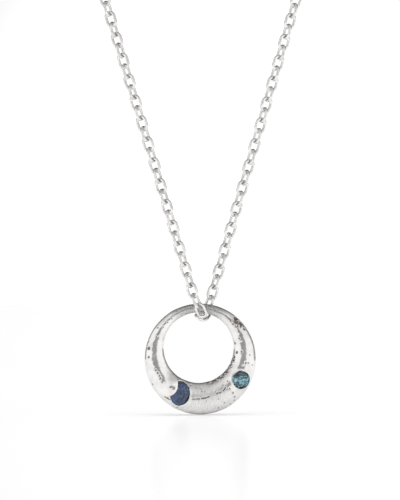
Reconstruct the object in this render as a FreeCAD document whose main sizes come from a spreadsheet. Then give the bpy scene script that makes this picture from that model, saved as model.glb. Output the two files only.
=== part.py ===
import FreeCAD, Part
import math
import os

import Sketcher
from FreeCAD import Placement, Rotation, Vector

# Pendant necklace: a cast eccentric ring with two flush-set stones, threaded
# straight onto an oval-link cable chain that closes with a bolt ring.
# +X is the wearer's left as seen from the front, -Y faces the viewer, +Z is up.
# The origin is at the nape, where the bolt ring lies on the neck.

doc = FreeCAD.newDocument("PendantNecklace")

SIZES = [
    ("wire", 0.65, "diameter of the chain's round wire"),
    ("link_length", 3.78, "outside length of a chain link"),
    ("link_width", 2.80, "outside width of a chain link"),
    ("play", 0.03, "gap where one ring of wire hangs in another"),
    ("strand_angle", 16.3, "angle of each strand from the vertical, degrees"),
    ("link_roll", 29, "roll of the open links about the strand, degrees"),
    ("steps", 15, "hinged steps down each strand"),
    ("links_per_step", 4, "links that move together in one step"),
    ("neck_links", 32, "links from the top of a strand to the nape"),
    ("neck_rise", 22, "height of the nape above the top of the strands"),
    ("neck_depth", 50, "distance of the nape behind the ring's middle plane"),
    ("hang_aside", 0.45, "the under link's middle, to the viewer's left of the strands"),
    ("hang_behind", 0.24, "the under link's middle, behind the ring's middle plane"),
    ("ring_diameter", 25.0, "outside diameter of the pendant ring"),
    ("hole_diameter", 15.8, "diameter of the pendant ring's hole"),
    ("band_width", 2.05, "width of the ring's band where it is narrowest"),
    ("band_depth", 1.70, "front-to-back depth of the band where it is narrowest"),
    ("band_growth", 0.40, "depth that the band gains for each mm of width"),
    ("thin_turn", 8.4, "turn of the narrowest place from the top, degrees"),
    ("back_cut", 0.75, "distance of the flat back behind the ring's middle plane"),
    ("hole_aside", 0.62, "the hole's middle, to the viewer's left of the under link's"),
    ("limb_rise", 0.50, "height of the under link's upper limb above its middle"),
    ("hang_gap", 0.045, "gap between the under link and the band"),
    ("left_stone_length", 5.6, "length of the left, oval stone"),
    ("left_stone_width", 4.7, "width of the left, oval stone"),
    ("left_stone_turn", 247.3, "place of the left stone round the hole, degrees"),
    ("left_stone_out", -0.2, "place of the left stone outward from mid-band"),
    ("left_stone_lean", 2, "lean of the left stone towards the rim, degrees"),
    ("right_stone_diameter", 4.25, "diameter of the right, round stone"),
    ("right_stone_turn", 322.8, "place of the right stone round the hole, degrees"),
    ("right_stone_out", 1.05, "place of the right stone outward from mid-band"),
    ("right_stone_lean", 20, "lean of the right stone towards the rim, degrees"),
    ("stone_sink", 0.45, "depth of a stone's girdle under the ring's surface"),
    ("crown_height", 0.45, "height of a stone's crown above its girdle"),
    ("girdle_height", 0.16, "height of a stone's girdle"),
    ("pavilion_height", 1.45, "depth of a stone's pavilion under its girdle"),
    ("seat_gap", 0.02, "clearance between a stone and its seat"),
    ("seat_lip", 0.12, "how far the metal laps over the girdle"),
    ("jump_wire", 0.60, "wire diameter of the jump ring"),
    ("jump_diameter", 4.0, "outside diameter of the jump ring"),
    ("end_wire", 0.70, "wire diameter of the end ring"),
    ("end_diameter", 5.0, "outside diameter of the end ring"),
    ("case_diameter", 6.2, "outside diameter of the bolt ring"),
    ("case_tube", 1.20, "diameter of the bolt ring's tube"),
    ("bore", 0.76, "bore of the bolt ring's tube"),
    ("bolt_play", 0.03, "clearance all round the bolt in its bore"),
    ("loop_wire", 0.55, "wire diameter of the bolt ring's loop"),
    ("loop_diameter", 2.6, "outside diameter of the bolt ring's loop"),
    ("mouth_start", 28, "start of the bolt ring's mouth, degrees up from +X"),
    ("mouth_end", 80, "end of the bolt ring's mouth, degrees up from +X"),
    ("bolt_overlap", 8, "how far the shut bolt enters the far side, degrees"),
    ("bolt_end", 128, "tail end of the shut bolt, degrees up from +X"),
    ("thumb_turn", 112, "place of the thumb piece on the shut bolt, degrees"),
    ("thumb_wire", 0.42, "diameter of the thumb piece"),
    ("thumb_height", 0.95, "how far the thumb piece stands out of the tube"),
    ("bolt_travel", 60, "how far the bolt slides back, degrees"),
    ("bore_end", 206, "closed end of the bore, degrees up from +X"),
    ("spring_wire", 0.14, "wire diameter of the return spring"),
    ("spring_turns", 7, "turns of the return spring"),
]

sheet = doc.addObject("Spreadsheet::Sheet", "Sizes")
for row, (alias, value, meaning) in enumerate(SIZES, start=1):
    sheet.set(f"A{row}", meaning)
    sheet.set(f"B{row}", str(value))
    sheet.setAlias(f"B{row}", alias)
doc.recompute()


def size(alias):
    return float(getattr(sheet, alias))


def bind(item, **expressions):
    """Tie properties of a document object to cells of the sheet."""
    for name, expression in expressions.items():
        item.setExpression(name, expression)


def named_constraint(sketch, name, constraint, expression):
    """Add a dimension to a sketch and tie it to the sheet."""
    sketch.renameConstraint(sketch.addConstraint(constraint), name)
    sketch.setExpression(f"Constraints.{name}", expression)


def sketch_on(body, role, name):
    """A sketch on one of the body's own origin planes."""
    sketch = body.newObject("Sketcher::SketchObject", name)
    plane = next(f for f in body.Origin.OriginFeatures if f.Role == role)
    sketch.AttachmentSupport = [(plane, "")]
    sketch.MapMode = "FlatFace"
    return sketch


def boolean(kind, name, base, tool):
    cut = doc.addObject(f"Part::{kind}", name)
    cut.Base = base
    cut.Tool = tool
    return cut


def degrees_vector(angle):
    """Unit vector in the XZ plane, at an angle up from +X."""
    turn = math.radians(angle)
    return Vector(math.cos(turn), 0, math.sin(turn))


def frame_rotation(across, along):
    """Rotation that sends X to across and Z to along."""
    return Rotation(across, along.cross(across), along, "ZXY")


X_AXIS, Y_AXIS, Z_AXIS = Vector(1, 0, 0), Vector(0, 1, 0), Vector(0, 0, 1)

# ---------------------------------------------------------------- chain link


def make_link():
    """One oval link: round wire bent to a racetrack that stands along Z."""
    body = doc.addObject("PartDesign::Body", "ChainLink")
    path = sketch_on(body, "XZ_Plane", "LinkPath")
    bend = (size("link_width") - size("wire")) / 2
    reach = (size("link_length") - size("link_width")) / 2
    path.addGeometry(
        [
            Part.LineSegment(Vector(bend, 0, 0), Vector(bend, reach, 0)),
            Part.ArcOfCircle(Part.Circle(Vector(0, reach, 0), Z_AXIS, bend), 0, math.pi),
            Part.LineSegment(Vector(-bend, reach, 0), Vector(-bend, -reach, 0)),
            Part.ArcOfCircle(
                Part.Circle(Vector(0, -reach, 0), Z_AXIS, bend), math.pi, 2 * math.pi
            ),
            Part.LineSegment(Vector(bend, -reach, 0), Vector(bend, 0, 0)),
        ],
        False,
    )
    path.addConstraint(
        [
            Sketcher.Constraint("Tangent", 0, 2, 1, 1),
            Sketcher.Constraint("Tangent", 1, 2, 2, 1),
            Sketcher.Constraint("Tangent", 2, 2, 3, 1),
            Sketcher.Constraint("Tangent", 3, 2, 4, 1),
            Sketcher.Constraint("Coincident", 4, 2, 0, 1),
            Sketcher.Constraint("Vertical", 0),
            Sketcher.Constraint("Vertical", 2),
            Sketcher.Constraint("PointOnObject", 0, 1, -1),
            Sketcher.Constraint("PointOnObject", 1, 3, -2),
            Sketcher.Constraint("PointOnObject", 3, 3, -2),
        ]
    )
    named_constraint(
        path, "bend", Sketcher.Constraint("Radius", 1, bend), "(Sizes.link_width - Sizes.wire) / 2"
    )
    named_constraint(
        path,
        "straight",
        Sketcher.Constraint("DistanceY", 3, 3, 1, 3, 2 * reach),
        "Sizes.link_length - Sizes.link_width",
    )
    named_constraint(
        path,
        "half_straight",
        Sketcher.Constraint("DistanceY", -1, 1, 1, 3, reach),
        "(Sizes.link_length - Sizes.link_width) / 2",
    )
    section = sketch_on(body, "XY_Plane", "LinkSection")
    section.addGeometry(Part.Circle(Vector(bend, 0, 0), Z_AXIS, size("wire") / 2), False)
    section.addConstraint(Sketcher.Constraint("PointOnObject", 0, 3, -1))
    named_constraint(
        section,
        "bend",
        Sketcher.Constraint("DistanceX", -1, 1, 0, 3, bend),
        "(Sizes.link_width - Sizes.wire) / 2",
    )
    named_constraint(
        section, "wire_radius", Sketcher.Constraint("Radius", 0, size("wire") / 2), "Sizes.wire / 2"
    )
    pipe = body.newObject("PartDesign::AdditivePipe", "LinkPipe")
    pipe.Profile = section
    pipe.Spine = (path, [""])
    return body


link = make_link()
doc.recompute()

# What one link adds to the chain, from contact to contact.
pitch = size("link_length") - 2 * size("wire") - size("play")


def place_link(name, middle, along, across):
    """A copy of the link at a place, standing along one way and wide across another."""
    copy = doc.addObject("App::Link", name)
    copy.LinkedObject = link
    along = (along * 1.0).normalize()
    across = (across - along * across.dot(along)).normalize()
    copy.Placement = Placement(middle, frame_rotation(across, along))
    return copy


def group(name, copies):
    """A sub-part made of separate, equal solids."""
    compound = doc.addObject("Part::Compound", name)
    compound.Label = name
    compound.Links = copies
    return compound


def across_vectors(points, first, last=None):
    """Width directions for the links between these points.

    The direction is carried along the chain without twist and alternates by a
    quarter turn. A wanted last direction is met by a small even twist.
    """
    tangents = [(b - a).normalize() for a, b in zip(points, points[1:])]
    carried = []
    across = first
    for tangent in tangents:
        across = (across - tangent * across.dot(tangent)).normalize()
        carried.append(across)
    quarter = [t.cross(w) if i % 2 else w for i, (t, w) in enumerate(zip(tangents, carried))]
    if last is None:
        return quarter
    end, tangent = quarter[-1], tangents[-1]
    last = (last - tangent * last.dot(tangent)).normalize()
    twist = math.atan2(end.cross(last).dot(tangent), end.dot(last))
    if twist > math.pi / 2:
        twist -= math.pi
    if twist < -math.pi / 2:
        twist += math.pi
    return [
        Rotation(t, math.degrees(twist) * (i + 1) / len(quarter)).multVec(w)
        for i, (t, w) in enumerate(zip(tangents, quarter))
    ]


# ------------------------------------------------------- layout of the chain


def roll_vector(side, angle):
    """Width direction of an open link on the left (+1) or right (-1) strand."""
    turn = math.radians(angle)
    return Vector(side * math.cos(turn), -math.sin(turn), 0)


links_per_strand = int(size("steps") * size("links_per_step"))
strand_length = links_per_strand * pitch
strand_slope = math.radians(size("strand_angle"))
left_up = Vector(-math.sin(strand_slope), 0, math.cos(strand_slope))
right_up = Vector(math.sin(strand_slope), 0, math.cos(strand_slope))

# How the ring's weight sets the links round its band: each link's middle, in
# pitches from the under link's, the way up the chain, and its width direction.
BOTTOM_LINKS = (
    ("left_foot_link", (-0.453, -0.891, 1.469), (-0.39, 0.02, 0.92), (-0.46, -0.87, -0.18)),
    ("front_link", (-0.008, -0.821, 0.579), (-0.42, -0.12, 0.90), (0.80, -0.51, 0.31)),
    ("under_link", (0, 0, 0), (-0.35, -0.89, -0.30), (0.84, -0.16, -0.52)),
    ("back_link", (0.514, 0.62, 0.314), (0.46, 0.36, 0.81), (-0.62, -0.52, 0.59)),
    ("right_foot_link", (0.78, 0.74, 1.248), (0.36, -0.12, 0.92), (0.48, -0.83, -0.30)),
)
# The lowest contact of each strand, in pitches from the under link's middle.
LEFT_FOOT, RIGHT_FOOT = Vector(-0.675, -0.879, 1.919), Vector(0.94, 0.7, 1.71)

# Heights are worked out from the under link, then hung from the origin.
strand_top = LEFT_FOOT.z * pitch + strand_length * math.cos(strand_slope)
hang = Vector(
    -size("hang_aside"),
    size("hang_behind") - size("neck_depth"),
    -strand_top - size("neck_rise"),
)
left_foot, right_foot = hang + LEFT_FOOT * pitch, hang + RIGHT_FOOT * pitch


# ------------------------------------------------------ clasp at the nape

case_radius = (size("case_diameter") - size("case_tube")) / 2
loop_radius = (size("loop_diameter") - size("loop_wire")) / 2
jump_radius = (size("jump_diameter") - size("jump_wire")) / 2
end_radius = (size("end_diameter") - size("end_wire")) / 2
SOLDER = 0.1

# Along X, each ring's wire rests inside the next ring, a play apart.
loop_x = -(size("case_diameter") / 2 + loop_radius - SOLDER)
jump_x = (
    loop_x
    - (loop_radius - size("loop_wire") / 2)
    + size("play")
    + size("jump_wire") / 2
    - jump_radius
)
end_x = case_radius - size("case_tube") / 2 - size("play") - size("end_wire") / 2 + end_radius
left_nape = Vector(jump_x - (jump_radius - size("jump_wire") / 2) + size("play") / 2, 0, 0)
right_nape = Vector(end_x + (end_radius - size("end_wire") / 2) - size("play") / 2, 0, 0)


def torus(name, x, ring_radius, tube_radius, flat=False, start=0.0, sweep=360.0):
    """A ring of round wire centred on the nape line, upright or lying flat."""
    item = doc.addObject("Part::Torus", name)
    bind(item, Radius1=ring_radius, Radius2=tube_radius)
    item.Angle1, item.Angle2, item.Angle3 = -180, 180, sweep
    upright = Rotation(X_AXIS, 0 if flat else 90)
    item.Placement = Placement(Vector(x, 0, 0), upright * Rotation(Z_AXIS, start))
    return item


def drum(name, radius, start, sweep):
    """A flat sector round the bolt ring's axis, as wide as the thumb slot."""
    item = doc.addObject("Part::Cylinder", name)
    bind(item, Radius=radius, Height="Sizes.thumb_wire + 2 * Sizes.bolt_play")
    item.Angle = sweep
    half_width = size("thumb_wire") / 2 + size("bolt_play")
    turn = Rotation(X_AXIS, 90) * Rotation(Z_AXIS, start)
    item.Placement = Placement(Vector(0, half_width, 0), turn)
    return item


CASE_RADIUS = "(Sizes.case_diameter - Sizes.case_tube) / 2"


def make_case():
    """The bolt ring's tube, open at the mouth, bored for the bolt, with its loop."""
    mouth_start, mouth_end = size("mouth_start"), size("mouth_end")
    tube_sweep = 360 - (mouth_end - mouth_start)
    tube = torus("CaseTube", 0, CASE_RADIUS, "Sizes.case_tube / 2", start=mouth_end, sweep=tube_sweep)
    loop = torus(
        "CaseLoop", loop_x, "(Sizes.loop_diameter - Sizes.loop_wire) / 2", "Sizes.loop_wire / 2"
    )
    solid = boolean("Fuse", "CaseWithLoop", tube, loop)
    bore_sweep = size("bore_end") - mouth_end
    bore = torus("CaseBore", 0, CASE_RADIUS, "Sizes.bore / 2", start=mouth_end, sweep=bore_sweep)
    socket_sweep = size("bolt_overlap") + 2
    socket = torus(
        "CaseSocket",
        0,
        CASE_RADIUS,
        "Sizes.bore / 2",
        start=mouth_start - socket_sweep,
        sweep=socket_sweep,
    )
    half_thumb = (size("thumb_wire") / 2 + size("bolt_play")) / case_radius
    edge = math.degrees(math.asin(half_thumb)) + 0.5
    slot_start = size("thumb_turn") - edge
    slot_sweep = size("bolt_travel") + 2 * edge
    slot = boolean(
        "Cut",
        "ThumbSlot",
        drum("SlotOutside", "Sizes.case_diameter", slot_start, slot_sweep),
        drum("SlotInside", CASE_RADIUS, 0, 360),
    )
    for name, tool in (("CaseBored", bore), ("CaseSocketed", socket), ("CaseSlotted", slot)):
        solid = boolean("Cut", name, solid, tool)
    solid.Label = "bolt_ring_case"
    return solid


def make_bolt():
    """The curved bolt that shuts the mouth, with the thumb piece that draws it back."""
    start = size("mouth_start") - size("bolt_overlap")
    wire = torus(
        "BoltWire",
        0,
        CASE_RADIUS,
        "Sizes.bore / 2 - Sizes.bolt_play",
        start=start,
        sweep=size("bolt_end") - start,
    )
    thumb = doc.addObject("Part::Cylinder", "ThumbPiece")
    bind(thumb, Radius="Sizes.thumb_wire / 2", Height="Sizes.case_tube / 2 + Sizes.thumb_height")
    outward = degrees_vector(size("thumb_turn"))
    thumb.Placement = Placement(outward * case_radius, frame_rotation(Y_AXIS, outward))
    bolt = boolean("Fuse", "BoltSolid", wire, thumb)
    bolt.Label = "bolt_ring_bolt"
    return bolt


def make_spring():
    """The coil spring behind the bolt, wound round the bent axis of the bore."""
    coil = (size("bore") - size("spring_wire")) / 2 - size("bolt_play")
    first, last = size("bolt_end") + 2, size("bore_end") - 2
    steps_per_turn = 12
    count = int(size("spring_turns") * steps_per_turn)
    points = []
    for step in range(count + 1):
        outward = degrees_vector(first + (last - first) * step / count)
        turn = 2 * math.pi * step / steps_per_turn
        points.append(outward * (case_radius + coil * math.cos(turn)) + Y_AXIS * coil * math.sin(turn))
    curve = Part.BSplineCurve()
    curve.interpolate(points)
    round_wire = Part.Circle(points[0], curve.tangent(curve.FirstParameter)[0], size("spring_wire") / 2)
    sides = 12
    corners = [round_wire.value(2 * math.pi * side / sides) for side in range(sides)]
    spring = doc.addObject("Part::Feature", "bolt_ring_spring")
    section = Part.makePolygon(corners + corners[:1])
    spring.Shape = Part.Wire(curve.toShape()).makePipeShell([section], True, True)
    return spring


case = make_case()
bolt = make_bolt()
spring = make_spring()
jump_ring = torus(
    "jump_ring",
    jump_x,
    "(Sizes.jump_diameter - Sizes.jump_wire) / 2",
    "Sizes.jump_wire / 2",
    flat=True,
)
end_ring = torus(
    "end_ring", end_x, "(Sizes.end_diameter - Sizes.end_wire) / 2", "Sizes.end_wire / 2", flat=True
)

# ------------------------------------------------- chain: strands and neck


def chords(curve, count):
    """Points a pitch apart along a curve, and the number of pitches it holds."""
    samples = [curve.value(i / 2000) for i in range(2001)]
    points = [samples[0]]
    for before, after in zip(samples, samples[1:]):
        if len(points) <= count and (after - points[-1]).Length >= pitch:
            near, far = (before - points[-1]).Length, (after - points[-1]).Length
            points.append(before + (after - before) * ((pitch - near) / (far - near)))
    return points, len(points) - 1 + (samples[-1] - points[-1]).Length / pitch


def neck_points(top, up, nape, side):
    """Contact points from the top of a strand round the neck to the clasp.

    The curve leaves along the strand and arrives along X. Its handles are as
    long as it takes for the whole number of links to fit.
    """
    count = int(size("neck_links"))
    shortest, longest = 0.0, 4 * size("neck_depth")
    for _ in range(50):
        handle = (shortest + longest) / 2
        curve = Part.BezierCurve()
        curve.setPoles([top, top + up * handle, nape + X_AXIS * side * handle, nape])
        points, held = chords(curve, count)
        if held < count:
            shortest = handle
        else:
            longest = handle
    return points[:count] + [nape]


def side_chain(foot, up, nape, side):
    """Contact points and width directions from the strand's foot to the nape."""
    strand = [foot + up * (pitch * i) for i in range(links_per_strand + 1)]
    widths = across_vectors(strand, roll_vector(-side, size("link_roll")))
    neck = neck_points(strand[-1], up, nape, side)
    first = (neck[1] - neck[0]).normalize().cross(widths[-1])
    return strand + neck[1:], widths + across_vectors(neck, first, Z_AXIS)


def make_links(name, points, widths):
    """One sub-part: the links between these contact points."""
    places = enumerate(zip(points, points[1:], widths), start=1)
    return group(
        name,
        [
            place_link(f"{name}_link_{i}", (lower + upper) * 0.5, upper - lower, across)
            for i, (lower, upper, across) in places
        ],
    )


def make_side(word, points, widths):
    """The steps of one strand, numbered from the top, and its neck chain."""
    count, steps = int(size("links_per_step")), int(size("steps"))
    parts = []
    for step in range(1, steps + 1):
        low = links_per_strand - step * count
        name = f"chain_{word}_{step:02d}"
        parts.append(make_links(name, points[low : low + count + 1], widths[low : low + count]))
    neck = make_links(f"neck_chain_{word}", points[links_per_strand:], widths[links_per_strand:])
    return parts + [neck]


left_points, left_widths = side_chain(left_foot, left_up, left_nape, -1)
right_points, right_widths = side_chain(right_foot, right_up, right_nape, 1)
chain = make_side("left", left_points, left_widths) + make_side("right", right_points, right_widths)


def make_bottom_link(name, middle, along, across):
    """One of the five links that carry the chain round the band."""
    place = hang + Vector(*middle) * pitch
    return group(name, [place_link(f"{name}_copy", place, Vector(*along), Vector(*across))])


bottom_links = [make_bottom_link(*row) for row in BOTTOM_LINKS]

# ------------------------------------------------------------ pendant ring

outer_radius, hole_radius = size("ring_diameter") / 2, size("hole_diameter") / 2
off_centre = outer_radius - hole_radius - size("band_width")
# From the hole's middle, the outer circle's middle lies opposite the thin place.
off_turn = 270 + size("thin_turn")


def band_at(angle):
    """Half width, middle radius and half depth of the band, round the hole."""
    turn = math.radians(angle - off_turn)
    reach = off_centre * math.cos(turn) + math.sqrt(
        outer_radius**2 - (off_centre * math.sin(turn)) ** 2
    )
    half_width = (reach - hole_radius) / 2
    gained = (2 * half_width - size("band_width")) * size("band_growth")
    return half_width, hole_radius + half_width, (size("band_depth") + gained) / 2


# The top of the hole rests on the under link's upper limb.
hole_top = hang.z + size("limb_rise") + size("wire") / 2 + size("hang_gap")
hole = Vector(hang.x - size("hole_aside"), -size("neck_depth"), hole_top - hole_radius)

OUTER = "(Sizes.ring_diameter / 2)"
HOLE = "(Sizes.hole_diameter / 2)"
OFF = f"({OUTER} - {HOLE} - Sizes.band_width)"
SECTIONS = 12


def band_section(number):
    """The band's oval section at one of the even turns round the hole."""
    angle = 360 * number / SECTIONS
    turn = f"({angle} - 270 - Sizes.thin_turn)"
    reach = f"({OFF} * cos({turn}) + sqrt({OUTER}^2 - ({OFF} * sin({turn}))^2))"
    half_width = f"(({reach} - {HOLE}) / 2)"
    gained = f"(2 * {half_width} - Sizes.band_width) * Sizes.band_growth"
    section = doc.addObject("Part::Ellipse", f"BandSection{number:02d}")
    bind(section, MajorRadius=half_width, MinorRadius=f"(Sizes.band_depth + {gained}) / 2")
    outward = degrees_vector(angle)
    middle = band_at(angle)[1]
    section.Placement = Placement(hole + outward * middle, frame_rotation(outward, outward.cross(Y_AXIS)))
    return section


def loft(name, sections, ruled, closed):
    item = doc.addObject("Part::Loft", name)
    item.Sections = sections
    item.Solid, item.Ruled, item.Closed = True, ruled, closed
    return item


def stone_place(turn, outward, lean):
    """Placement of a stone's girdle, its Z pointing out of the ring's face."""
    half_width, middle, half_depth = band_at(turn)
    radial = degrees_vector(turn)
    surface = half_depth * math.sqrt(1 - (outward / half_width) ** 2)
    tilt = math.radians(lean)
    normal = radial * math.sin(tilt) - Y_AXIS * math.cos(tilt)
    girdle = hole + radial * (middle + outward) - Y_AXIS * surface - normal * size("stone_sink")
    return Placement(girdle, frame_rotation(Z_AXIS.cross(normal).cross(normal) * -1, normal))


TABLE_SHARE, CULET_SHARE = 0.58, 0.12
GIRDLE = "Sizes.girdle_height / 2"


def oval(name, place, length, width, height):
    """An oval across the stone's axis. Its height is worked out by the sheet's values."""
    item = doc.addObject("Part::Ellipse", name)
    bind(item, MajorRadius=length, MinorRadius=width)
    item.Placement = place * Placement(Vector(0, 0, height), Rotation())
    return item


def make_stone(label, place, length, width):
    """A faceted stone's envelope: table, crown, girdle, pavilion and culet."""
    half_girdle = size("girdle_height") / 2
    levels = (
        (TABLE_SHARE, half_girdle + size("crown_height")),
        (1, half_girdle),
        (1, -half_girdle),
        (CULET_SHARE, -half_girdle - size("pavilion_height")),
    )
    sections = [
        oval(f"{label}_level_{i}", place, f"{length} / 2 * {share}", f"{width} / 2 * {share}", height)
        for i, (share, height) in enumerate(levels)
    ]
    stone = loft(f"{label}_solid", sections, True, False)
    stone.Label = label
    return stone


def make_seat(label, place, length, width):
    """What the seat removes: the stone with its gap, and the mouth inside the lip."""
    gap, half_girdle = size("seat_gap"), size("girdle_height") / 2
    crown_slope = size("crown_height") / (1 - TABLE_SHARE)
    narrow = size(width.split(".")[1]) / 2
    lip_height = half_girdle + gap + crown_slope * size("seat_lip") / narrow
    levels = (
        ("- Sizes.seat_lip", 1, 3 * size("crown_height") + lip_height),
        ("- Sizes.seat_lip", 1, lip_height),
        ("+ Sizes.seat_gap", 1, half_girdle + gap),
        ("+ Sizes.seat_gap", 1, -half_girdle - gap),
        ("+ Sizes.seat_gap", CULET_SHARE, -half_girdle - size("pavilion_height") - gap),
    )
    sections = [
        oval(
            f"{label}_level_{i}",
            place,
            f"{length} / 2 * {share} {grown}",
            f"{width} / 2 * {share} {grown}",
            height,
        )
        for i, (grown, share, height) in enumerate(levels)
    ]
    return loft(label, sections, True, False)


left_place = stone_place(size("left_stone_turn"), size("left_stone_out"), size("left_stone_lean"))
right_place = stone_place(
    size("right_stone_turn"), size("right_stone_out"), size("right_stone_lean")
)
LEFT_STONE = ("Sizes.left_stone_length", "Sizes.left_stone_width")
RIGHT_STONE = ("Sizes.right_stone_diameter", "Sizes.right_stone_diameter")


def make_ring():
    """The cast ring: domed face, flat back, and a seat for each stone."""
    solid = loft("BandLoft", [band_section(number) for number in range(SECTIONS)], False, True)
    back = doc.addObject("Part::Box", "FlatBack")
    bind(
        back,
        Length="2 * Sizes.ring_diameter",
        Width="Sizes.ring_diameter",
        Height="2 * Sizes.ring_diameter",
    )
    corner = Vector(-size("ring_diameter"), size("back_cut"), -size("ring_diameter"))
    back.Placement = Placement(hole + corner, Rotation())
    tools = (
        ("BandFlatBacked", back),
        ("BandLeftSeat", make_seat("LeftSeat", left_place, *LEFT_STONE)),
        ("BandRightSeat", make_seat("RightSeat", right_place, *RIGHT_STONE)),
    )
    for name, tool in tools:
        solid = boolean("Cut", name, solid, tool)
    solid.Label = "pendant_ring"
    return solid


ring = make_ring()
left_stone = make_stone("left_stone", left_place, *LEFT_STONE)
right_stone = make_stone("right_stone", right_place, *RIGHT_STONE)

# ------------------------------------------------------------------ output

sub_parts = chain + bottom_links + [
    ring,
    left_stone,
    right_stone,
    jump_ring,
    case,
    bolt,
    spring,
    end_ring,
]
doc.recompute()

for item in doc.Objects:
    if "Invalid" in item.State or "Error" in item.State:
        raise RuntimeError(f"{item.Name} failed: {item.State}")
for part in sub_parts:
    if part.Shape.isNull() or not part.Shape.isValid():
        raise RuntimeError(f"{part.Label} has no valid shape")

os.makedirs("parts", exist_ok=True)
for part in sub_parts:
    part.Shape.exportStep(f"parts/{part.Label}.step")
print(len(sub_parts), "sub-parts written")
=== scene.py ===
import math

import bpy
from mathutils import Matrix, Vector, noise


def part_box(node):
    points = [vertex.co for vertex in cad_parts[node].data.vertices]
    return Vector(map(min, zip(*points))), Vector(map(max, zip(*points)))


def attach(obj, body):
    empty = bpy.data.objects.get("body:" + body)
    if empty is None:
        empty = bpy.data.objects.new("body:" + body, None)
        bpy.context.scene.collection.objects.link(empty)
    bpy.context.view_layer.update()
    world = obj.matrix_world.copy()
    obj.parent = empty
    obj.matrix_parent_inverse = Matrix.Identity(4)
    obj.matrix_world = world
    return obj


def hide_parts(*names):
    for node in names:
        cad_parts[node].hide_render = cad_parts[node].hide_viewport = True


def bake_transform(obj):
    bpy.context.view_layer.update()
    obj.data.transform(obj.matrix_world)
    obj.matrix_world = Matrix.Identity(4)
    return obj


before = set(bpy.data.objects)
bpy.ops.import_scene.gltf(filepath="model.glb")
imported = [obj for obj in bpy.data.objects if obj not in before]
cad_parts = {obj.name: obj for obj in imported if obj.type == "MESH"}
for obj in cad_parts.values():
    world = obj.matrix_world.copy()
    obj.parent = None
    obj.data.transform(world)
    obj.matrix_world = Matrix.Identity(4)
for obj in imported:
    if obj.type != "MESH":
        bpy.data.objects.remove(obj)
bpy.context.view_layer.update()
bpy.ops.object.select_all(action="DESELECT")

# ---------------------------------------------------------------- camera
# A long lens a metre in front of the pendant, level with the strands just above
# it, so that the two strands run straight out of the top of the picture.
MM = 0.001
pendant_low, pendant_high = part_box("pendant_ring")
pendant_middle = (Vector(pendant_low) + Vector(pendant_high)) / 2
view_height = 112.6 * MM
camera_distance = 1.0
camera_data = bpy.data.cameras.new("camera")
camera_data.sensor_width = 36
camera_data.lens = camera_data.sensor_width * camera_distance / view_height
camera = bpy.data.objects.new("camera", camera_data)
camera.location = (
    pendant_middle.x + 0.10 * MM,
    pendant_middle.y - camera_distance,
    pendant_middle.z + 24.55 * MM,
)
camera.rotation_euler = (math.radians(90), math.radians(0.36), 0)
bpy.context.scene.collection.objects.link(camera)
bpy.context.scene.camera = camera

# ---------------------------------------------------------------- studio
# A jeweller's light tent: white all round, with the dark of the lens opening in
# front, a grey seam where the tent meets the backdrop and a duller roof.
bpy.context.scene.view_settings.view_transform = "Standard"
world = bpy.data.worlds.new("light_tent")
bpy.context.scene.world = world
world.use_nodes = True
tent = world.node_tree
tent.nodes.clear()


def tent_node(kind, **values):
    node = tent.nodes.new(kind)
    for name, value in values.items():
        setattr(node, name, value)
    return node


direction = tent_node("ShaderNodeTexCoord")
towards_lens = tent_node("ShaderNodeVectorMath", operation="DOT_PRODUCT")
towards_lens.inputs[1].default_value = Vector((-0.05, -1, 0)).normalized()
angle = tent_node("ShaderNodeMath", operation="ARCCOSINE")
share = tent_node("ShaderNodeMath", operation="DIVIDE")
share.inputs[1].default_value = math.pi
walls = tent_node("ShaderNodeValToRGB")
upwards = tent_node("ShaderNodeSeparateXYZ")
roof = tent_node("ShaderNodeValToRGB")
both = tent_node("ShaderNodeMix", data_type="RGBA", blend_type="MULTIPLY")
both.inputs["Factor"].default_value = 1
background = tent_node("ShaderNodeBackground")
output = tent_node("ShaderNodeOutputWorld")
tent.links.new(direction.outputs["Generated"], towards_lens.inputs[0])
tent.links.new(towards_lens.outputs["Value"], angle.inputs[0])
tent.links.new(angle.outputs[0], share.inputs[0])
tent.links.new(share.outputs[0], walls.inputs["Fac"])
tent.links.new(direction.outputs["Generated"], upwards.inputs[0])
tent.links.new(upwards.outputs["Z"], roof.inputs["Fac"])
tent.links.new(walls.outputs["Color"], both.inputs[6])
tent.links.new(roof.outputs["Color"], both.inputs[7])
tent.links.new(both.outputs[2], background.inputs["Color"])
tent.links.new(background.outputs[0], output.inputs[0])


def fill_ramp(ramp, stops):
    """Sets a ramp's stops from (place, grey) pairs."""
    while len(ramp.elements) < len(stops):
        ramp.elements.new(0.5)
    for element, (place, grey) in zip(ramp.elements, stops):
        element.position = place
        element.color = (grey, grey, grey, 1)


# Degrees away from the lens opening, and how bright the tent is there.
wall_greys = (
    (0, 0.3), (17, 0.36), (22, 0.95), (75, 1.05), (95, 0.55), (125, 0.24), (172, 0.14), (174, 1.1),
)
fill_ramp(walls.color_ramp, [(degrees / 180, grey) for degrees, grey in wall_greys])
fill_ramp(roof.color_ramp, [(0, 1), (0.35, 1), (0.75, 0.55), (1, 0.5)])

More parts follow.
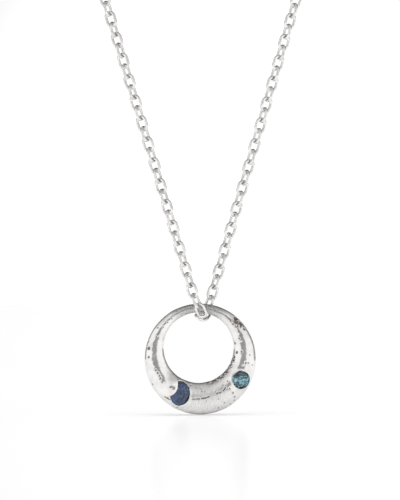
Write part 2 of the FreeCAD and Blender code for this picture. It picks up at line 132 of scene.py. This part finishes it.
# A pale, faintly glossy table just under the pendant, lit from above.
table_top = pendant_low[2] - 0.15 * MM
bpy.ops.mesh.primitive_plane_add(size=4, location=(0, 0, table_top))
table = bpy.context.object
table.name = "table"
table_finish = bpy.data.materials.new("white_table")
table_finish.use_nodes = True
table_shader = table_finish.node_tree.nodes["Principled BSDF"]
table_shader.inputs["Base Color"].default_value = (0.98, 0.98, 0.98, 1)
table_shader.inputs["Roughness"].default_value = 1
table_shader.inputs["Specular IOR Level"].default_value = 0
sheen = table_finish.node_tree.nodes.new("ShaderNodeBsdfGlossy")
sheen.inputs["Roughness"].default_value = 0.13
sheen_share = table_finish.node_tree.nodes.new("ShaderNodeMixShader")
sheen_share.inputs["Fac"].default_value = 0.2
table_links = table_finish.node_tree.links
table_links.new(table_shader.outputs["BSDF"], sheen_share.inputs[1])
table_links.new(sheen.outputs["BSDF"], sheen_share.inputs[2])
table_output = table_finish.node_tree.nodes["Material Output"]
table_links.new(sheen_share.outputs["Shader"], table_output.inputs["Surface"])
table.data.materials.append(table_finish)

bpy.ops.object.light_add(type="SUN")
lamp = bpy.context.object
lamp.data.energy = 2.1
lamp.data.angle = math.radians(90)
lamp.visible_glossy = False

# ---------------------------------------------------------- chain of links
# Soldered oval links of round silver wire, tumbled bright. The solids already
# have the real shape, so they only take the finish.


def silver(name, roughness, grain, grain_scale, tarnish):
    """Polished silver with fine scratches and a little grey tarnish in patches."""
    finish = bpy.data.materials.new(name)
    finish.use_nodes = True
    nodes, links = finish.node_tree.nodes, finish.node_tree.links
    shader = nodes["Principled BSDF"]
    shader.inputs["Metallic"].default_value = 1
    place = nodes.new("ShaderNodeTexCoord")
    patches = nodes.new("ShaderNodeTexNoise")
    patches.inputs["Scale"].default_value = 900
    patches.inputs["Detail"].default_value = 3
    tint = nodes.new("ShaderNodeValToRGB")
    tint.color_ramp.elements[0].position = 0.35
    tint.color_ramp.elements[0].color = tarnish
    tint.color_ramp.elements[1].position = 0.6
    tint.color_ramp.elements[1].color = (0.93, 0.925, 0.91, 1)
    polish = nodes.new("ShaderNodeMapRange")
    polish.inputs["To Min"].default_value = roughness * 0.6
    polish.inputs["To Max"].default_value = roughness * 1.4
    scratches = nodes.new("ShaderNodeTexNoise")
    scratches.inputs["Scale"].default_value = grain_scale
    scratches.inputs["Detail"].default_value = 2
    bump = nodes.new("ShaderNodeBump")
    bump.inputs["Strength"].default_value = grain
    bump.inputs["Distance"].default_value = 0.05 * MM
    links.new(place.outputs["Object"], patches.inputs["Vector"])
    links.new(place.outputs["Object"], scratches.inputs["Vector"])
    links.new(patches.outputs["Fac"], tint.inputs["Fac"])
    links.new(patches.outputs["Fac"], polish.inputs["Value"])
    links.new(tint.outputs["Color"], shader.inputs["Base Color"])
    links.new(polish.outputs["Result"], shader.inputs["Roughness"])
    links.new(scratches.outputs["Fac"], bump.inputs["Height"])
    links.new(bump.outputs["Normal"], shader.inputs["Normal"])
    return finish


def give_finish(node_name, finish):
    """Puts one finish on a CAD node."""
    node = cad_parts[node_name]
    node.data.materials.clear()
    node.data.materials.append(finish)


chain_silver = silver("chain_silver", 0.12, 0.05, 4000, (0.72, 0.71, 0.69, 1))
link_words = ("chain_", "neck_chain", "_link")
for node_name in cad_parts:
    if any(word in node_name for word in link_words):
        give_finish(node_name, chain_silver)

# ------------------------------------------------------------------ clasp
# A bolt ring of drawn silver tube with a soldered loop, its sliding bolt, a steel
# spring inside the tube, and the jump ring and end ring on the chain's two ends.
clasp_silver = silver("clasp_silver", 0.1, 0.08, 2500, (0.78, 0.78, 0.77, 1))
for node_name in ("bolt_ring_case", "bolt_ring_bolt", "jump_ring", "end_ring"):
    give_finish(node_name, clasp_silver)

# ---------------------------------------------------------- return spring
# Fine steel wire coiled in the clasp's bent bore. It fills the bore between the
# bolt's tail and the closed end. The real spring shortens as the bolt is drawn back; this one is built
# at one length.
bore_radius, coil_radius, wire_radius = 2.5 * MM, 0.28 * MM, 0.07 * MM
wire_sides, spring_turns, steps_per_turn = 12, 7, 24
closed_end, tail_end = math.radians(203), math.radians(131)
coil_length = bore_radius * (closed_end - tail_end)
bpy.ops.mesh.primitive_circle_add(
    vertices=wire_sides,
    radius=wire_radius,
    location=(coil_radius, 0, 0),
    rotation=(math.radians(90), 0, 0),
)
spring = bpy.context.object
spring.name = "return_spring"
bpy.ops.object.transform_apply(location=True, rotation=True)
coils = spring.modifiers.new("coils", "SCREW")
coils.angle = math.radians(spring_turns * 360)
coils.screw_offset = coil_length
coils.steps = coils.render_steps = spring_turns * steps_per_turn
bpy.ops.object.modifier_apply(modifier=coils.name)
for vertex in spring.data.vertices:
    turn = closed_end - vertex.co.z / bore_radius
    out = bore_radius + vertex.co.x
    vertex.co = (out * math.cos(turn), vertex.co.y, out * math.sin(turn))
bpy.ops.object.mode_set(mode="EDIT")
bpy.ops.mesh.select_all(action="SELECT")
bpy.ops.mesh.fill_holes(sides=wire_sides)
bpy.ops.mesh.normals_make_consistent(inside=False)
bpy.ops.object.mode_set(mode="OBJECT")
spring.data.shade_smooth()
spring.data.materials.append(silver("spring_steel", 0.3, 0.1, 6000, (0.42, 0.42, 0.43, 1)))
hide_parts("bolt_ring_spring")
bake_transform(spring)

# ---------------------------------------------------------- pendant ring
# One silver casting: an open ring whose hole sits high, so the band grows from
# two millimetres at the top to seven at the foot. Its face is domed and its back
# flat. The skin keeps the pits, cracks and rough pockets of the casting.
outer_radius = (pendant_high[0] - pendant_low[0]) / 2
hole_radius = 7.9 * MM
narrowest = 2.05 * MM
thin_turn = math.radians(90 + 8.4)
off_centre = outer_radius - hole_radius - narrowest
ring_centre = Vector(((pendant_low[0] + pendant_high[0]) / 2, (pendant_low[2] + pendant_high[2]) / 2))
hole_centre = ring_centre + off_centre * Vector((math.cos(thin_turn), math.sin(thin_turn)))
back_face = pendant_high[1]
middle_plane = back_face - 0.75 * MM


def band_at(turn):
    """Half width, middle radius and half depth of the band at a turn round the hole."""
    from_thin = turn - thin_turn
    reach = -off_centre * math.cos(from_thin) + math.sqrt(
        outer_radius**2 - (off_centre * math.sin(from_thin)) ** 2
    )
    half_width = (reach - hole_radius) / 2
    half_depth = (1.70 * MM + 0.40 * (2 * half_width - narrowest)) / 2
    return half_width, hole_radius + half_width, half_depth


def on_face(turn_degrees, across):
    """A place on the domed face: a turn round the hole and a share across the band."""
    turn = math.radians(turn_degrees)
    half_width, middle, half_depth = band_at(turn)
    radius = middle + half_width * across
    rise = half_depth * math.sqrt(max(0, 1 - across**2))
    return Vector(
        (
            hole_centre.x + radius * math.cos(turn),
            middle_plane - rise,
            hole_centre.y + radius * math.sin(turn),
        )
    )


# Where the stones sit: the middle of the girdle, the way out of the seat, and the
# stone's width and length. Each stone leans a little towards the rim.
crown_height, girdle_height, pavilion_height = 0.45 * MM, 0.16 * MM, 1.45 * MM
table_share, culet_share = 0.58, 0.12


def seat_of(node, lean_degrees):
    """Girdle middle, outward normal, half width and half length of a seated stone."""
    low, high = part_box(node)
    lean = math.radians(lean_degrees)
    half_width, half_length = (high[0] - low[0]) / 2, (high[2] - low[2]) / 2
    middle = Vector(((low[0] + high[0]) / 2, 0, (low[2] + high[2]) / 2))
    middle.y = low[1] + (crown_height + girdle_height / 2) * math.cos(lean)
    middle.y += table_share * half_width * math.sin(lean)
    rimward = Vector((middle.x - hole_centre.x, 0, middle.z - hole_centre.y)).normalized()
    return middle, rimward * math.sin(lean) - Vector((0, math.cos(lean), 0)), half_width, half_length


seats = {"left_stone": seat_of("left_stone", 2), "right_stone": seat_of("right_stone", 20)}
# A lobe of metal has run over the upper left of the oval stone.
lobe_middle, lobe_radius = Vector((ring_centre.x - 8.0 * MM, ring_centre.y - 5.5 * MM)), 3.1 * MM

# Casting pits: turn round the hole, share across the band, radius and depth in mm.
pits = [
    (180, 0.68, 0.42, 0.16), (190, 0.6, 0.3, 0.13), (179, 0.95, 0.2, 0.1), (172, 0.9, 0.22, 0.1),
    (165, 0.11, 0.25, 0.12), (153, 0.59, 0.22, 0.1), (149, -0.03, 0.22, 0.1), (140, -0.09, 0.24, 0.1),
    (132, -0.12, 0.2, 0.1), (128, 0.15, 0.2, 0.08), (120, 0.64, 0.2, 0.08), (97, 0.67, 0.2, 0.08),
    (207, 0.12, 0.24, 0.14), (211, 0.06, 0.26, 0.16), (215, 0.03, 0.24, 0.14), (218, 0.07, 0.3, 0.12),
    (218, 0.9, 0.25, 0.1), (250, 0.88, 0.22, 0.1), (258, -0.8, 0.2, 0.1), (266, -0.7, 0.2, 0.08),
    (79, 0.49, 0.2, 0.1), (75, 0.78, 0.22, 0.1), (38, 0.8, 0.5, 0.2), (34, 0.5, 0.42, 0.18),
    (30, 0.82, 0.5, 0.2), (29, 0.26, 0.24, 0.12), (22, 0.75, 0.3, 0.14), (13, -0.26, 0.24, 0.12),
    (7, -0.85, 0.3, 0.12), (355, -0.25, 0.25, 0.14), (353, -0.7, 0.34, 0.16), (352, 0.47, 0.2, 0.1),
    (345, -0.88, 0.32, 0.14), (342, 0.17, 0.24, 0.14), (343, 0.38, 0.2, 0.12), (342, 0.75, 0.2, 0.1),
    (303, -0.38, 0.24, 0.1), (311, -0.4, 0.22, 0.1), (307, 0.06, 0.24, 0.12), (307, 0.43, 0.26, 0.12),
    (306, 0.71, 0.24, 0.12), (304, 0.88, 0.24, 0.12), (299, 0.92, 0.22, 0.1), (295, 0.66, 0.2, 0.1),
    (288, 0.8, 0.24, 0.1), (291, 0.26, 0.2, 0.1), (291, -0.25, 0.2, 0.1), (278, 0.14, 0.2, 0.08),
    (274, -0.49, 0.22, 0.1), (278, -0.44, 0.2, 0.08), (273, -0.64, 0.2, 0.08),
]
# The crack along the middle of the foot: dashes from turn to turn, at a share across.
cracks = [
    (263, 0.03, 271, 0.0, 0.11),
    (273, -0.03, 282, -0.07, 0.2),
    (291, -0.12, 297, -0.07, 0.12),
    (300, -0.08, 304, -0.16, 0.12),
    (235, 0.72, 241, 0.66, 0.2),
]
for start_turn, start_share, end_turn, end_share, depth in cracks:
    dashes = 14
    for dash in range(dashes + 1):
        part = dash / dashes
        pits.append(
            (
                start_turn + (end_turn - start_turn) * part,
                start_share + (end_share - start_share) * part,
                0.14,
                depth,
            )
        )
dents = [(on_face(turn, across), radius * MM, depth * MM) for turn, across, radius, depth in pits]
# Rough places: the inner edge at the lower right, and a pocket at the upper right.
rough_places = [(on_face(turn, -0.93), 0.8 * MM) for turn in range(288, 346, 7)]
rough_places += [(on_face(35, 0.55), 1.0 * MM), (on_face(28, 0.7), 0.9 * MM)]

# The torus is dense enough for pits of a fifth of a millimetre after two cuts.
# Three quarters of its slices go to the face.
bpy.ops.mesh.primitive_torus_add(
    major_segments=256, minor_segments=36, major_radius=3, minor_radius=1
)
ring = bpy.context.object
ring.name = "open_ring"
bpy.ops.object.mode_set(mode="EDIT")
bpy.ops.mesh.subdivide(number_cuts=2)
bpy.ops.object.mode_set(mode="OBJECT")
face_share = 0.75
for vertex in ring.data.vertices:
    turn = math.atan2(vertex.co.y, vertex.co.x)
    around = math.atan2(vertex.co.z, math.hypot(vertex.co.x, vertex.co.y) - 3) / (2 * math.pi) % 1
    if around < face_share:
        slope = math.pi * around / face_share
    else:
        slope = math.pi + math.pi * (around - face_share) / (1 - face_share)
    half_width, middle, half_depth = band_at(turn)
    radius = middle + half_width * math.cos(slope)
    vertex.co = (
        hole_centre.x + radius * math.cos(turn),
        middle_plane - max(half_depth * math.sin(slope), middle_plane - back_face),
        hole_centre.y + radius * math.sin(turn),
    )
bpy.ops.object.mode_set(mode="EDIT")
bpy.ops.mesh.select_all(action="SELECT")
bpy.ops.mesh.normals_make_consistent(inside=False)
bpy.ops.object.mode_set(mode="OBJECT")


def raised(place):
    """The rim pushed up round each seat, and the lobe that covers part of the oval stone."""
    past_lobe = (Vector((place.x, place.z)) - lobe_middle).length - lobe_radius
    height = 0
    for middle, _, half_width, half_length in seats.values():
        out = math.hypot((place.x - middle.x) / half_width, (place.z - middle.z) / half_length)
        if past_lobe > 0 or middle.x > ring_centre.x:
            height += 0.07 * MM * math.exp(-(((out - 1.06) / 0.07) ** 2))
        else:
            crest = math.exp(-((max(0, out - 0.9) / 0.6) ** 2))
            height += crest * 0.42 * MM * (1 - math.exp(past_lobe / (0.3 * MM)) * 0.5)
    return height


def pitted(place):
    """How deep the pits and rough places are at a place."""
    depth = 0
    for centre, radius, deepest in dents:
        near = (place - centre).length / radius
        if near < 1.6:
            lip = math.exp(-((near - 1.15) ** 2) / 0.02)
            depth += deepest * (math.exp(-(near**4)) - 0.25 * lip)
    for centre, radius in rough_places:
        near = (place - centre).length / radius
        if near < 1.5:
            grain = 0.35 + noise.noise(place * 2600)
            depth += 0.16 * MM * grain * math.exp(-(near**4))
    return depth


def satin_and_painted_shade_at(place):
    """Where the skin is satin: the thin top of the band and the foot between the stones. The top's mask
    also darkens the colour there as painted shade.
    """
    turn = math.degrees(math.atan2(place.z - hole_centre.y, place.x - hole_centre.x)) % 360
    top = math.exp(-(((turn - 88) / 36) ** 4))
    foot = math.exp(-(((turn - 281) / 26) ** 4))
    return top, foot


# The thin top is a little slimmer than the casting, clear of the link behind it.
worn = 0.03 * MM
skin = ring.data.attributes.new("skin", "FLOAT_COLOR", "POINT")
normals = [vertex.normal.copy() for vertex in ring.data.vertices]
for vertex, normal, colour in zip(ring.data.vertices, normals, skin.data):
    top, foot = satin_and_painted_shade_at(vertex.co)
    tarnish = 0
    if vertex.co.y < middle_plane:
        depth = pitted(vertex.co)
        tarnish = min(1, max(0, depth / (0.13 * MM)))
        depth += 0.05 * MM * noise.noise(vertex.co * 400) + 0.025 * MM * noise.noise(vertex.co * 1100)
        vertex.co -= normal * (depth - raised(vertex.co))
    vertex.co -= normal * worn * top
    # Red is tarnish in the pits, green the satin top whose colour is painted darker as shade, blue the
    # brushed foot.
    colour.color = (tarnish, top, foot, 1)


def turned_to(middle, normal):
    """Matrix that stands a thing made along Z on a seat, its Y up the ring."""
    side = Vector((0, 0, 1)).cross(normal).normalized()
    up = normal.cross(side)
    turn = Matrix((side, up, normal)).transposed().to_4x4()
    return Matrix.Translation(middle) @ turn


def grow_top(rise, scale, turn=0):
    """Extrudes the selected end face of a turned form, in edit mode."""
    bpy.ops.mesh.extrude_region_move(TRANSFORM_OT_translate={"value": (0, 0, rise)})
    bpy.ops.transform.resize(value=(scale, scale, 1), center_override=(0, 0, 0))
    bpy.ops.transform.rotate(value=turn, orient_axis="Z", center_override=(0, 0, 0))


def pick_end(mesh_object, upper):
    """Selects only the flat end face of a form made along Z, and enters edit mode."""
    bpy.ops.object.mode_set(mode="EDIT")
    bpy.ops.mesh.select_all(action="DESELECT")
    bpy.ops.mesh.select_mode(type="FACE")
    bpy.ops.object.mode_set(mode="OBJECT")
    ends = sorted(mesh_object.data.polygons, key=lambda face: face.center.z)
    ends[-1 if upper else 0].select = True
    bpy.ops.object.mode_set(mode="EDIT")


def cut_away(body, cutter):
    """Cuts one solid from another and removes the cutter."""
    modifier = body.modifiers.new("cut", "BOOLEAN")
    modifier.operation = "DIFFERENCE"
    modifier.solver = "EXACT"
    modifier.object = cutter
    with bpy.context.temp_override(active_object=body, object=body, selected_objects=[body]):
        bpy.ops.object.modifier_apply(modifier=modifier.name)
    bpy.data.objects.remove(cutter)


seat_gap = 0.02 * MM
for seat_name, (middle, normal, half_width, half_length) in seats.items():
    # The pocket under the girdle, then the mouth that the stone shows through.
    bpy.ops.mesh.primitive_cone_add(
        vertices=64,
        radius1=culet_share * half_width,
        radius2=half_width + seat_gap,
        depth=pavilion_height,
        location=(0, 0, -(pavilion_height + girdle_height) / 2),
    )
    pocket = bpy.context.object
    bpy.ops.object.transform_apply(location=True)
    pick_end(pocket, upper=True)
    grow_top(girdle_height + seat_gap, 1)
    bpy.ops.object.mode_set(mode="OBJECT")
    bpy.ops.mesh.primitive_cylinder_add(
        vertices=64, radius=half_width - 0.08 * MM, depth=2 * MM, location=(0, 0, 1.02 * MM)
    )
    mouth = bpy.context.object
    bpy.ops.object.transform_apply(location=True)
    for form in (pocket, mouth):
        form.data.transform(Matrix.Diagonal((1, half_length / half_width, 1, 1)))
        form.data.transform(turned_to(middle, normal))
    if seat_name == "left_stone":
        bpy.ops.mesh.primitive_cylinder_add(
            vertices=96,
            radius=lobe_radius,
            depth=8 * MM,
            location=(lobe_middle.x, middle.y, lobe_middle.y),
            rotation=(math.radians(90), 0, 0),
        )
        lobe = bpy.context.object
        cut_away(mouth, lobe)
    cut_away(ring, pocket)
    cut_away(ring, mouth)


def cast_silver(name):
    """Cast silver: bright where it was polished, satin at top and foot, with painted shade darkening the
    top to grey, brown in the pits.
    """
    finish = bpy.data.materials.new(name)
    finish.use_nodes = True
    nodes, links = finish.node_tree.nodes, finish.node_tree.links
    shader = nodes["Principled BSDF"]
    shader.inputs["Metallic"].default_value = 1
    place = nodes.new("ShaderNodeTexCoord")
    skin_read = nodes.new("ShaderNodeAttribute")
    skin_read.attribute_name = "skin"
    parts = nodes.new("ShaderNodeSeparateColor")
    links.new(skin_read.outputs["Color"], parts.inputs["Color"])

    def texture(scale, detail, stretch=None):
        field = nodes.new("ShaderNodeTexNoise")
        field.inputs["Scale"].default_value = scale
        field.inputs["Detail"].default_value = detail
        if stretch:
            mapping = nodes.new("ShaderNodeMapping")
            mapping.inputs["Scale"].default_value = stretch
            links.new(place.outputs["Object"], mapping.inputs["Vector"])
            links.new(mapping.outputs["Vector"], field.inputs["Vector"])
        else:
            links.new(place.outputs["Object"], field.inputs["Vector"])
        return field.outputs["Fac"]

    def ramp(factor, *stops):
        node = nodes.new("ShaderNodeValToRGB")
        while len(node.color_ramp.elements) < len(stops):
            node.color_ramp.elements.new(0.5)
        for element, (position, colour) in zip(node.color_ramp.elements, stops):
            element.position = position
            element.color = (*colour, 1)
        links.new(factor, node.inputs["Fac"])
        return node.outputs["Color"]

    def mixed(factor, first, second):
        node = nodes.new("ShaderNodeMix")
        node.data_type = "RGBA"
        links.new(factor, node.inputs[0])
        for socket, value in ((node.inputs[6], first), (node.inputs[7], second)):
            if isinstance(value, tuple):
                socket.default_value = (*value, 1)
            else:
                links.new(value, socket)
        return node.outputs[2]

    def sums(operation, first, second):
        node = nodes.new("ShaderNodeMath")
        node.operation = operation
        for socket, value in zip(node.inputs, (first, second)):
            if isinstance(value, (int, float)):
                socket.default_value = value
            else:
                links.new(value, socket)
        return node.outputs[0]

    clouds = texture(420, 4)
    bright = ramp(clouds, (0.3, (0.78, 0.765, 0.75)), (0.55, (0.93, 0.915, 0.9)))
    # Painted shade: a darker grey colour for the satin top of the band, as well as its rougher finish
    # set below.
    satin_top_painted_shade = ramp(texture(2600, 3), (0.35, (0.34, 0.34, 0.34)), (0.65, (0.62, 0.62, 0.61)))
    brushed = ramp(texture(2600, 2, (3, 1, 0.5)), (0.35, (0.7, 0.695, 0.68)), (0.65, (0.92, 0.915, 0.9)))
    tint = mixed(parts.outputs["Green"], bright, satin_top_painted_shade)
    tint = mixed(parts.outputs["Blue"], tint, brushed)
    pit = sums("MULTIPLY", parts.outputs["Red"], 0.9)
    tint = mixed(pit, tint, (0.15, 0.115, 0.09))
    links.new(tint, shader.inputs["Base Color"])
    satin = sums("ADD", parts.outputs["Green"], parts.outputs["Blue"])
    roughness = sums("MULTIPLY", satin, 0.26)
    roughness = sums("ADD", roughness, sums("MULTIPLY", clouds, 0.18))
    links.new(roughness, shader.inputs["Roughness"])
    grain = nodes.new("ShaderNodeBump")
    grain.inputs["Strength"].default_value = 0.35
    grain.inputs["Distance"].default_value = 0.04 * MM
    links.new(texture(1900, 3), grain.inputs["Height"])
    links.new(grain.outputs["Normal"], shader.inputs["Normal"])
    return finish


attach(ring, "pendant")
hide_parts("pendant_ring")
ring.data.materials.append(cast_silver("cast_silver"))
ring.data.shade_smooth()

# ---------------------------------------------------------------- stones
# Two natural sapphires, cut as shallow brilliants and set flush: a deep blue oval
# at the lower left and a round blue-green one at the right. The metal holds them
# by their girdles.


def gem_finish(name, dark_above, *stops):
    """Clear coloured stone with patches of light and dark painted into its colour as facet highlights,
    and painted shade towards the top.
    """
    finish = bpy.data.materials.new(name)
    finish.use_nodes = True
    nodes, links = finish.node_tree.nodes, finish.node_tree.links
    shader = nodes["Principled BSDF"]
    shader.inputs["Roughness"].default_value = 0.04
    shader.inputs["IOR"].default_value = 1.77
    shader.inputs["Transmission Weight"].default_value = 0.6
    place = nodes.new("ShaderNodeTexCoord")
    # Painted highlights: cells of bright and dark colour stand in for light flashing off the facets.
    painted_flash_cells = nodes.new("ShaderNodeTexVoronoi")
    painted_flash_cells.inputs["Scale"].default_value = 2600
    painted_flash = nodes.new("ShaderNodeSeparateColor")
    shade = nodes.new("ShaderNodeValToRGB")
    while len(shade.color_ramp.elements) < len(stops):
        shade.color_ramp.elements.new(0.5)
    for element, (position, colour) in zip(shade.color_ramp.elements, stops):
        element.position = position
        element.color = (*colour, 1)
    links.new(place.outputs["Object"], painted_flash_cells.inputs["Vector"])
    links.new(painted_flash_cells.outputs["Color"], painted_flash.inputs["Color"])
    # Painted shade: the colour darkens towards the top of the stone, above the height dark_above.
    height = nodes.new("ShaderNodeSeparateXYZ")
    painted_shade_towards_top = nodes.new("ShaderNodeMapRange")
    painted_shade_towards_top.inputs["From Min"].default_value = dark_above
    painted_shade_towards_top.inputs["From Max"].default_value = dark_above + 0.5 * MM
    painted_shade_towards_top.inputs["To Min"].default_value = 1
    painted_shade_towards_top.inputs["To Max"].default_value = 0.25
    dimmed = nodes.new("ShaderNodeMath")
    dimmed.operation = "MULTIPLY"
    links.new(place.outputs["Object"], height.inputs["Vector"])
    links.new(height.outputs["Z"], painted_shade_towards_top.inputs["Value"])
    links.new(painted_flash.outputs["Red"], dimmed.inputs[0])
    links.new(painted_shade_towards_top.outputs["Result"], dimmed.inputs[1])
    links.new(dimmed.outputs[0], shade.inputs["Fac"])
    links.new(shade.outputs["Color"], shader.inputs["Base Color"])
    return finish


# Each ramp runs from painted dark facets, through the stone's own colour, to painted bright flashes.
# The height given to each stone is where its painted shade towards the top begins.
gem_finishes = {
    "left_stone": gem_finish(
        "blue_sapphire",
        seats["left_stone"][0].z + 2 * MM,
        (0.1, (0.003, 0.012, 0.05)),
        (0.6, (0.01, 0.05, 0.19)),
        (0.95, (0.05, 0.2, 0.5)),
    ),
    "right_stone": gem_finish(
        "teal_sapphire",
        seats["right_stone"][0].z + 0.5 * MM,
        (0.1, (0.01, 0.02, 0.015)),
        (0.35, (0.03, 0.22, 0.3)),
        (0.6, (0.4, 0.85, 1.0)),
    ),
}
# Each ring of facets is turned by half a side against the one before.
stone_sides = 16
half_step = math.radians(180 / stone_sides)
for node_name, (middle, normal, half_width, half_length) in seats.items():
    bpy.ops.mesh.primitive_cylinder_add(vertices=stone_sides, radius=half_width, depth=girdle_height)
    stone = bpy.context.object
    stone.name = node_name.replace("_stone", "_sapphire")
    pick_end(stone, upper=True)
    grow_top(0.55 * crown_height, 0.82, half_step)
    grow_top(0.45 * crown_height, table_share / 0.82, half_step)
    bpy.ops.object.mode_set(mode="OBJECT")
    pick_end(stone, upper=False)
    grow_top(-0.45 * pavilion_height, 0.7, half_step)
    grow_top(-0.55 * pavilion_height, culet_share / 0.7, half_step)
    bpy.ops.mesh.select_all(action="SELECT")
    bpy.ops.mesh.quads_convert_to_tris(quad_method="SHORTEST_DIAGONAL")
    bpy.ops.object.mode_set(mode="OBJECT")
    stone.data.transform(Matrix.Diagonal((1, half_length / half_width, 1, 1)))
    stone.data.transform(turned_to(middle, normal))
    stone.data.materials.append(gem_finishes[node_name])
    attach(stone, "pendant")
    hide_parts(node_name)
